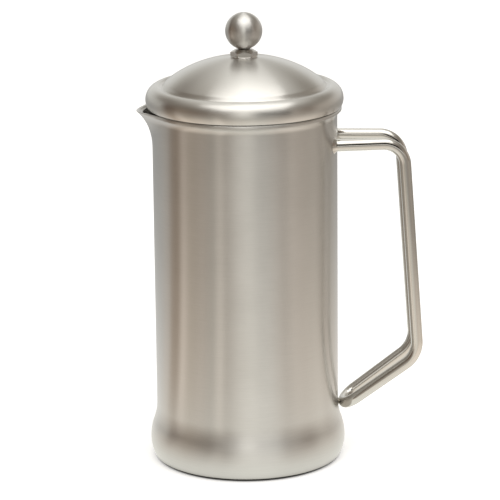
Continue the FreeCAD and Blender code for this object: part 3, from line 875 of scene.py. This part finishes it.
def bush_nut():
    """Thin hexagon nut with a chamfered lower side."""
    top = RIM_Z + LID_GAP + SHEET - WASHER_T
    low = top - NUT_T
    bore_r = BUSH_R + FIT_GAP
    outline = [(bore_r, low + 0.3), (bore_r + 0.3, low), (HEX_FLATS / 2 - 0.2, low)]
    outline += run((HEX_FLATS / 2 + 0.1, low + 0.15), (HEX_CORNER_R, low + 0.7), 3)
    outline += run((HEX_CORNER_R, low + 1.0), (HEX_CORNER_R, top), 3)
    outline += run((HEX_CORNER_R, top), (bore_r, top), 4)
    return lathe("bush_hex_nut", outline, POLISHED, 144, hexagon_warp(), smooth_deg=22)


def guide_sleeve():
    """Plastic sleeve with a snap ring near the top and a collar below the bush."""
    play = 0.1
    collar_top = BUSH_BOTTOM_Z - play
    top = BUSH_TOP_Z - 2 * play
    outline = [
        (SLEEVE_BORE_R, top - 0.3), (SLEEVE_BORE_R, collar_top - COLLAR_T),
        (COLLAR_R - 0.3, collar_top - COLLAR_T), (COLLAR_R, collar_top - COLLAR_T + 0.3),
        (COLLAR_R, collar_top - 0.2), (COLLAR_R - 0.2, collar_top), (SLEEVE_R, collar_top),
        (SLEEVE_R, SNAP_Z + play), (SLEEVE_R + 0.25, SNAP_Z + 0.4), (SLEEVE_R + 0.25, SNAP_Z + 0.6),
        (SLEEVE_R, SNAP_Z + 0.9), (SLEEVE_R, top - 0.2), (SLEEVE_R - 0.2, top), (SLEEVE_BORE_R + 0.3, top),
    ]
    return lathe("plastic_guide_sleeve", outline, PLASTIC, 72)


# ---- plunger ----------------------------------------------------------------
def plunger_rod():
    """Rod with a thread at its lower end."""
    low = FILTER_BOTTOM_Z - 1.5
    outline = [(PIN_R, low), (PLUNGER_ROD_R - 0.5, low)]
    outline += thread(PLUNGER_ROD_R, low + 0.3, MESH_Z + 9)
    outline += run((PLUNGER_ROD_R, MESH_Z + 10), (PLUNGER_ROD_R, ROD_TOP_Z - 0.5), 40)
    outline += [(PLUNGER_ROD_R - 0.5, ROD_TOP_Z), (PIN_R, ROD_TOP_Z)]
    return lathe("plunger_stem", outline, POLISHED, 64)


def filter_nut():
    """Round nut with finger scallops round its lower part."""
    step_z = SUPPORT_Z - 1.0

    def scallops(point):
        x, y, z = point
        radius = math.hypot(x, y)
        pitch = 360 / SCALLOPS
        turn = math.radians((math.degrees(math.atan2(y, x)) + pitch / 2) % pitch - pitch / 2)
        reach = SCALLOP_PITCH_R * math.sin(turn)
        if z > step_z + 0.01 or abs(reach) >= SCALLOP_R:
            return point
        limit = SCALLOP_PITCH_R * math.cos(turn) - math.sqrt(SCALLOP_R ** 2 - reach ** 2)
        shrink = min(1.0, limit / radius)
        return (x * shrink, y * shrink, z)

    low = FILTER_BOTTOM_Z
    outline = [(ROD_BORE_R, low + 0.3), (ROD_BORE_R + 0.3, low)]
    outline += run((ROD_BORE_R + 0.3, low), (FILTER_NUT_R - 0.5, low), 5)
    outline += run((FILTER_NUT_R, low + 0.5), (FILTER_NUT_R, step_z), 3)
    outline += [(FILTER_NUT_R, step_z + 0.02), (FILTER_NUT_R, SUPPORT_Z - 0.15)]
    outline += [(FILTER_NUT_R - 0.15, SUPPORT_Z), (ROD_BORE_R, SUPPORT_Z)]
    return lathe("filter_finger_nut", outline, POLISHED, 360, scallops, smooth_deg=30)


def support_plate():
    """Stiff perforated disc under the mesh."""
    low, high = SUPPORT_Z, SUPPORT_Z + SUPPORT_T
    flat_r = SUPPORT_HOLES[0][1] - SUPPORT_HOLES[0][0] - 2
    rings = [(*ring, 0) for ring in SUPPORT_HOLES]
    return drilled_plate("filter_support_disc", [(ROD_BORE_R, low), (flat_r, low)],
                         [(ROD_BORE_R, high), (flat_r, high)], SUPPORT_R, rings, LINER)


def spreader_plate():
    """Dished disc with two rings of small holes."""
    low = MESH_Z + MESH_T
    slope = [(SPREADER_SEAT_R - 0.5, 0), (SPREADER_SEAT_R + 0.4, 0.1),
             (SPREADER_SLOPE_R - 0.4, SPREADER_RISE - 0.1), (SPREADER_SLOPE_R + 0.5, SPREADER_RISE)]
    centre_low = [(ROD_BORE_R, low)] + [(r, low + z) for r, z in slope]
    centre_high = [(ROD_BORE_R, low + SHEET)] + [(r - SHEET / 4, low + SHEET + z) for r, z in slope]
    rings = [(*ring, 180 / ring[2]) for ring in SPREADER_HOLES]
    return drilled_plate("filter_spreader_disc", centre_low, centre_high, SPREADER_R, rings, LINER)


def mesh_screen():
    """Fine mesh disc whose edge is turned up round the spring."""
    turn_r = 0.8
    corner = (FILTER_R - turn_r, MESH_Z + turn_r)
    outline = run((ROD_BORE_R, MESH_Z), (FILTER_R - turn_r, MESH_Z), 24)
    outline += arc(corner, turn_r, -90, 0, 8)
    outline += run((FILTER_R, MESH_Z + turn_r), (FILTER_R, MESH_TOP_Z - 0.1), 6)
    outline += [(FILTER_R - 0.1, MESH_TOP_Z), (FILTER_R - MESH_T, MESH_TOP_Z)]
    outline += run((FILTER_R - MESH_T, MESH_TOP_Z - 0.1), (FILTER_R - MESH_T, MESH_Z + turn_r), 6)
    outline += arc(corner, turn_r - MESH_T, 0, -90, 8)
    outline += run((FILTER_R - turn_r, MESH_Z + MESH_T), (ROD_BORE_R, MESH_Z + MESH_T), 24)
    return lathe("filter_mesh", outline, MESH, 192)


def edge_spring():
    """Close-wound wire coil bent into a ring."""
    ring_r = FILTER_R - MESH_T - SPRING_TUBE_R - 0.05
    ring_z = MESH_Z + MESH_T + SPRING_TUBE_R + 0.05
    coil_r = SPRING_TUBE_R - SPRING_WIRE_R
    steps = 14
    path = []
    guides = []
    for index in range(SPRING_COILS * steps):
        round_ring = 2 * math.pi * index / (SPRING_COILS * steps)
        round_coil = 2 * math.pi * index / steps
        outward = Vector((math.cos(round_ring), math.sin(round_ring), 0))
        spoke = outward * math.cos(round_coil) + Vector((0, 0, math.sin(round_coil)))
        path.append(outward * ring_r + Vector((0, 0, ring_z)) + spoke * coil_r)
        guides.append(spoke)
    return tube("filter_edge_coil", path, SPRING_WIRE_R, SPRING, 8, True, guides=guides)


def filter_hub():
    """Turned hub on the rod above the discs."""
    low = MESH_Z + MESH_T + SHEET
    high = low + HUB_HEIGHT
    outline = [(ROD_BORE_R, low), (HUB_R - 0.2, low), (HUB_R, low + 0.2), (HUB_R, low + HUB_FLANGE_T - 0.3)]
    outline += run((HUB_R - 0.3, low + HUB_FLANGE_T), (HUB_TOP_R + 0.1, high - 0.3), 6)
    outline += [(HUB_TOP_R - 0.2, high), (ROD_BORE_R, high)]
    return lathe("filter_hub_piece", outline, POLISHED, 96)


def knob_ball():
    """Ball with a shallow hollow where the rod enters it."""
    outline = arc((0, BALL_Z), BALL_R, -84, 90, 72)
    outline[-1] = (PIN_R, BALL_Z + BALL_R)
    mouth_r, mouth_z = outline[0]
    hollow_z = mouth_z + 1.5
    outline = [(mouth_r * 0.2, hollow_z), (mouth_r * 0.9, hollow_z)] + outline
    outline.append((PIN_R, BALL_Z - BALL_R + 3))
    return lathe("knob", outline, SATIN, segments=96)


# Each builder is named after the CAD node that its piece replaces.
PIECES = {
    "pot": ((outer_shell, "satin_steel"), (inner_liner, "liner_steel"), (base_plate, "satin_steel"),
            (handle_rod, "polished_steel"), (upper_handle_welds, "polished_steel"),
            (lower_handle_weld, "polished_steel")),
    "lid": ((lid_shell, "satin_steel"), (lid_insert, "liner_steel"), (lid_bush, "polished_steel"),
            (lid_washer, "polished_steel"), (bush_washer, "polished_steel"), (bush_nut, "polished_steel")),
    "sleeve": ((guide_sleeve, "plastic"),),
    "plunger": ((plunger_rod, "polished_steel"), (filter_nut, "polished_steel"),
                (support_plate, "liner_steel"), (mesh_screen, "mesh_steel"), (edge_spring, "spring_steel"),
                (spreader_plate, "liner_steel"), (filter_hub, "polished_steel"), (knob_ball, "satin_steel")),
}
for body, builders in PIECES.items():
    for build, slot in builders:
        piece = build()
        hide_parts(build.__name__)
        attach(piece, body)


# ---- camera -----------------------------------------------------------------
CAMERA_AZIMUTH_DEG = -1.8       # the handle points very slightly away from the camera
CAMERA_DISTANCE = 1.5265
CAMERA_HEIGHT = 0.5185
CAMERA_PITCH_DEG = 14.78
CAMERA_YAW_DEG = 0.081
CAMERA_ROLL_DEG = -0.588
LENS_MM = 208.22


def add_camera():
    """Long lens about a metre and a half off, looking slightly down."""
    data = bpy.data.cameras.new("camera")
    data.lens = LENS_MM
    data.sensor_width = 36.0
    data.clip_end = 50
    camera = bpy.data.objects.new("camera", data)
    bpy.context.scene.collection.objects.link(camera)
    pitch, yaw, roll = (math.radians(v) for v in (CAMERA_PITCH_DEG, CAMERA_YAW_DEG, CAMERA_ROLL_DEG))
    forward = Vector((math.sin(yaw) * math.cos(pitch), math.cos(yaw) * math.cos(pitch), -math.sin(pitch)))
    level = forward.cross(Vector((0, 0, 1))).normalized()
    upright = level.cross(forward)
    right = level * math.cos(roll) + upright * math.sin(roll)
    up = upright * math.cos(roll) - level * math.sin(roll)
    turn = Matrix.Rotation(math.radians(CAMERA_AZIMUTH_DEG), 4, "Z")
    place = Matrix((
        (right.x, up.x, -forward.x, 0),
        (right.y, up.y, -forward.y, -CAMERA_DISTANCE),
        (right.z, up.z, -forward.z, CAMERA_HEIGHT),
        (0, 0, 0, 1),
    ))
    camera.matrix_world = turn @ place
    bpy.context.scene.camera = camera


# ---- stage and light ----------------------------------------------------------
# Azimuths of the studio's bands are in degrees to the right of straight ahead of the pot's front (-Y).
TABLE_BANDS = (
    (-180, (0.66, 0.67, 0.66)), (-134, (0.60, 0.59, 0.57)), (-112, (0.62, 0.57, 0.52)),
    (-102, (0.46, 0.38, 0.31)), (-93, (0.44, 0.36, 0.29)), (-84, (0.86, 0.76, 0.67)),
    (-72, (0.60, 0.53, 0.45)), (-54, (0.64, 0.57, 0.50)), (-42, (0.58, 0.54, 0.48)),
    (-33, (0.84, 0.77, 0.69)), (-26, (0.58, 0.53, 0.47)), (-8, (0.66, 0.62, 0.56)),
    (3, (0.70, 0.67, 0.61)), (18, (0.65, 0.62, 0.57)), (42, (0.63, 0.57, 0.51)),
    (60, (0.73, 0.66, 0.59)), (86, (0.72, 0.66, 0.59)), (106, (0.60, 0.54, 0.48)),
    (124, (0.62, 0.58, 0.53)), (180, (0.66, 0.67, 0.66)),
)
HORIZON_BANDS = (
    (-180, (0.85, 0.85, 0.83)), (-122, (0.62, 0.61, 0.58)), (-104, (0.13, 0.09, 0.07)),
    (-80, (0.26, 0.19, 0.14)), (-50, (0.18, 0.13, 0.10)), (-30, (0.34, 0.30, 0.26)),
    (-2, (1.08, 1.06, 1.01)), (26, (1.10, 1.08, 1.03)), (50, (0.50, 0.45, 0.40)),
    (78, (0.28, 0.22, 0.18)), (100, (0.60, 0.54, 0.48)), (180, (0.85, 0.85, 0.83)),
)
MIDDLE_BANDS = (
    (-180, (1.10, 1.09, 1.05)), (-160, (0.62, 0.60, 0.56)), (-140, (0.30, 0.27, 0.24)),
    (-60, (0.20, 0.17, 0.14)),
    (-28, (0.24, 0.21, 0.18)), (0, (1.15, 1.12, 1.06)), (22, (1.15, 1.12, 1.06)),
    (52, (0.28, 0.25, 0.22)), (140, (0.34, 0.31, 0.27)), (160, (0.62, 0.60, 0.56)),
    (180, (1.10, 1.09, 1.05)),
)
OVERHEAD_BANDS = (
    (-180, (1.15, 1.14, 1.10)), (-110, (0.60, 0.57, 0.52)), (-60, (0.70, 0.68, 0.64)),
    (-20, (0.98, 0.96, 0.92)), (20, (0.98, 0.96, 0.92)), (70, (0.76, 0.74, 0.70)),
    (180, (1.15, 1.14, 1.10)),
)
MIDDLE_RISE = (0.26, 0.46)       # height on the sky sphere where the middle ring fades in
OVERHEAD_RISE = (0.58, 0.92)     # and where the overhead ring does
STREAKS = (0.86, 1.14)           # range of the fine changes in strength from azimuth to azimuth
STAGE_HALF = 6.0                 # half the width of the floor and of the table card
FLOOR_Z = -0.0001                # just under the foot, so that the two faces do not flicker
FLOOR_SHADOW = (0.0485, 0.0514)  # painted shadow: the floor is dark under the pot, up to the edge of the foot
# colour of the painted shadow on the floor under the pot
FLOOR_PAINTED_SHADOW = (0.10, 0.095, 0.09)
FLOOR_PALE = (0.93, 0.93, 0.93)
FLOOR_GLOW = 0.38
TABLE_Z = -0.002
TABLE_RANGE = (0.06, 0.70)       # the table's reflection darkens from here to there
TABLE_GLOW = (1.85, 0.64)        # its strength near the pot and far off
TABLE_SHADOW = (0.0500, 0.0540)  # painted shadow: it too is dark under the pot
TABLE_PLAIN = (0.055, 0.20)      # close to the pot the table is plain grey, farther out it has bands
TABLE_GREY = (0.60, 0.60, 0.565)
DARK_CARD = (-0.02, 0.5, -0.40, 0.22, 0.45)   # left, right, distance in front, bottom and top
CARD_FADE = 0.16                 # width of the card's soft left edge
CARD_GLOW = (0.02, 0.017, 0.015)
LIGHT_PLACE = (0.1, -0.5, 2.0)
LIGHT_SIZE = (2.4, 1.8)
LIGHT_POWER = 19


def azimuth_bands(nodes, x, y, bands):
    """A ring of soft colours round the vertical axis."""
    turn = nodes.math("ARCTAN2", x, nodes.math("MULTIPLY", y, -1.0))
    share = nodes.math("ADD", nodes.math("MULTIPLY", turn, 0.5 / math.pi), 0.5)
    ramp = nodes.add("ShaderNodeValToRGB", {0: share})
    ramp.color_ramp.interpolation = "EASE"
    stops = ramp.color_ramp.elements
    while len(stops) < len(bands):
        stops.new(0.5)
    for stop, (azimuth, _) in zip(stops, bands):
        stop.position = azimuth / 360 + 0.5
    for stop, (_, colour) in zip(stops, bands):
        stop.color = (*colour, 1)
    along = nodes.add("ShaderNodeCombineXYZ", {0: turn})
    streaks = nodes.scale(nodes.noise(along.outputs[0], 14.0, 3.0, 0.6), *STREAKS)
    inputs = {0: ramp.outputs[0], "Scale": streaks}
    return nodes.add("ShaderNodeVectorMath", inputs, operation="SCALE").outputs[0]


def flat_square():
    """A large level square for the floor and the table card."""
    data = bmesh.new()
    bmesh.ops.create_grid(data, x_segments=1, y_segments=1, size=STAGE_HALF)
    return data


def add_floor():
    """A pale floor with a soft painted shadow under the pot."""
    nodes = MaterialNodes("pale_floor")
    # painted shadow: the floor's colour and glow both fade to dark under the pot
    clear = nodes.rise(nodes.length(nodes.place()), *FLOOR_SHADOW)
    nodes.feed(nodes.shader, {
        "Base Color": nodes.mix(clear, FLOOR_PAINTED_SHADOW, FLOOR_PALE),
        "Roughness": 0.9,
        "Specular IOR Level": 0.1,
        "Emission Color": (1, 1, 1),
        "Emission Strength": nodes.scale(clear, 0.0, FLOOR_GLOW),
    })
    floor = make_object("floor", flat_square(), nodes.material)
    floor.location.z = FLOOR_Z
    floor.visible_glossy = False


def reflected_card(name, data, nodes):
    """A piece of the stage that only reflections see."""
    card = make_object(name, data, nodes.material)
    card.visible_camera = False
    card.visible_diffuse = False
    card.visible_shadow = False
    return card


def add_table_card():
    """What the steel reflects of the table: a glowing card under the floor, with a painted shadow under the
    pot.
    """
    nodes = MaterialNodes("table_card")
    place = nodes.place()
    x, y, _ = nodes.split(place)
    far = nodes.length(place)
    # painted shadow: the card's glow is cut off under the pot
    strength = nodes.math("MULTIPLY", nodes.remap(far, TABLE_RANGE, TABLE_GLOW),
                          nodes.rise(far, *TABLE_SHADOW))
    colour = nodes.mix(nodes.rise(far, *TABLE_PLAIN), TABLE_GREY, azimuth_bands(nodes, x, y, TABLE_BANDS))
    nodes.show(nodes.add("ShaderNodeEmission", {"Color": colour, "Strength": strength}))
    card = reflected_card("table_card", flat_square(), nodes)
    card.location.z = TABLE_Z


def add_dark_card():
    """A dark card in front of the pot's upper half, with a soft left edge."""
    data = bmesh.new()
    left, right, near, low, high = DARK_CARD
    corners = [(left, near, low), (right, near, low), (right, near, high), (left, near, high)]
    data.faces.new([data.verts.new(corner) for corner in corners])
    nodes = MaterialNodes("dark_card")
    solid = nodes.rise(nodes.split(nodes.place())[0], left, left + CARD_FADE)
    clear = nodes.add("ShaderNodeBsdfTransparent", {})
    glow = nodes.add("ShaderNodeEmission", {"Color": CARD_GLOW})
    nodes.show(nodes.add("ShaderNodeMixShader", {0: solid, 1: clear.outputs[0], 2: glow.outputs[0]}))
    reflected_card("dark_card", data, nodes)


def add_overhead_light():
    """One broad soft light above and in front, aimed at the pot's foot."""
    data = bpy.data.lights.new("overhead", "AREA")
    data.shape = "RECTANGLE"
    data.size, data.size_y = LIGHT_SIZE
    data.energy = LIGHT_POWER
    light = bpy.data.objects.new("overhead", data)
    light.location = LIGHT_PLACE
    light.rotation_euler = (-Vector(LIGHT_PLACE)).to_track_quat("-Z", "Y").to_euler()
    light.visible_camera = False
    bpy.context.scene.collection.objects.link(light)


def add_world():
    """A studio whose walls and ceiling are broad soft bands."""
    world = bpy.data.worlds.new("studio")
    world.use_nodes = True
    bpy.context.scene.world = world
    nodes = Nodes(world.node_tree)
    x, y, z = nodes.split(nodes.place("Generated"))
    colour = azimuth_bands(nodes, x, y, HORIZON_BANDS)
    for bands, height in ((MIDDLE_BANDS, MIDDLE_RISE), (OVERHEAD_BANDS, OVERHEAD_RISE)):
        colour = nodes.mix(nodes.rise(z, *height), colour, azimuth_bands(nodes, x, y, bands))
    nodes.link(colour, world.node_tree.nodes["Background"].inputs[0])


add_camera()
add_floor()
add_table_card()
add_dark_card()
add_world()
add_overhead_light()
bpy.context.scene.view_settings.view_transform = "Standard"
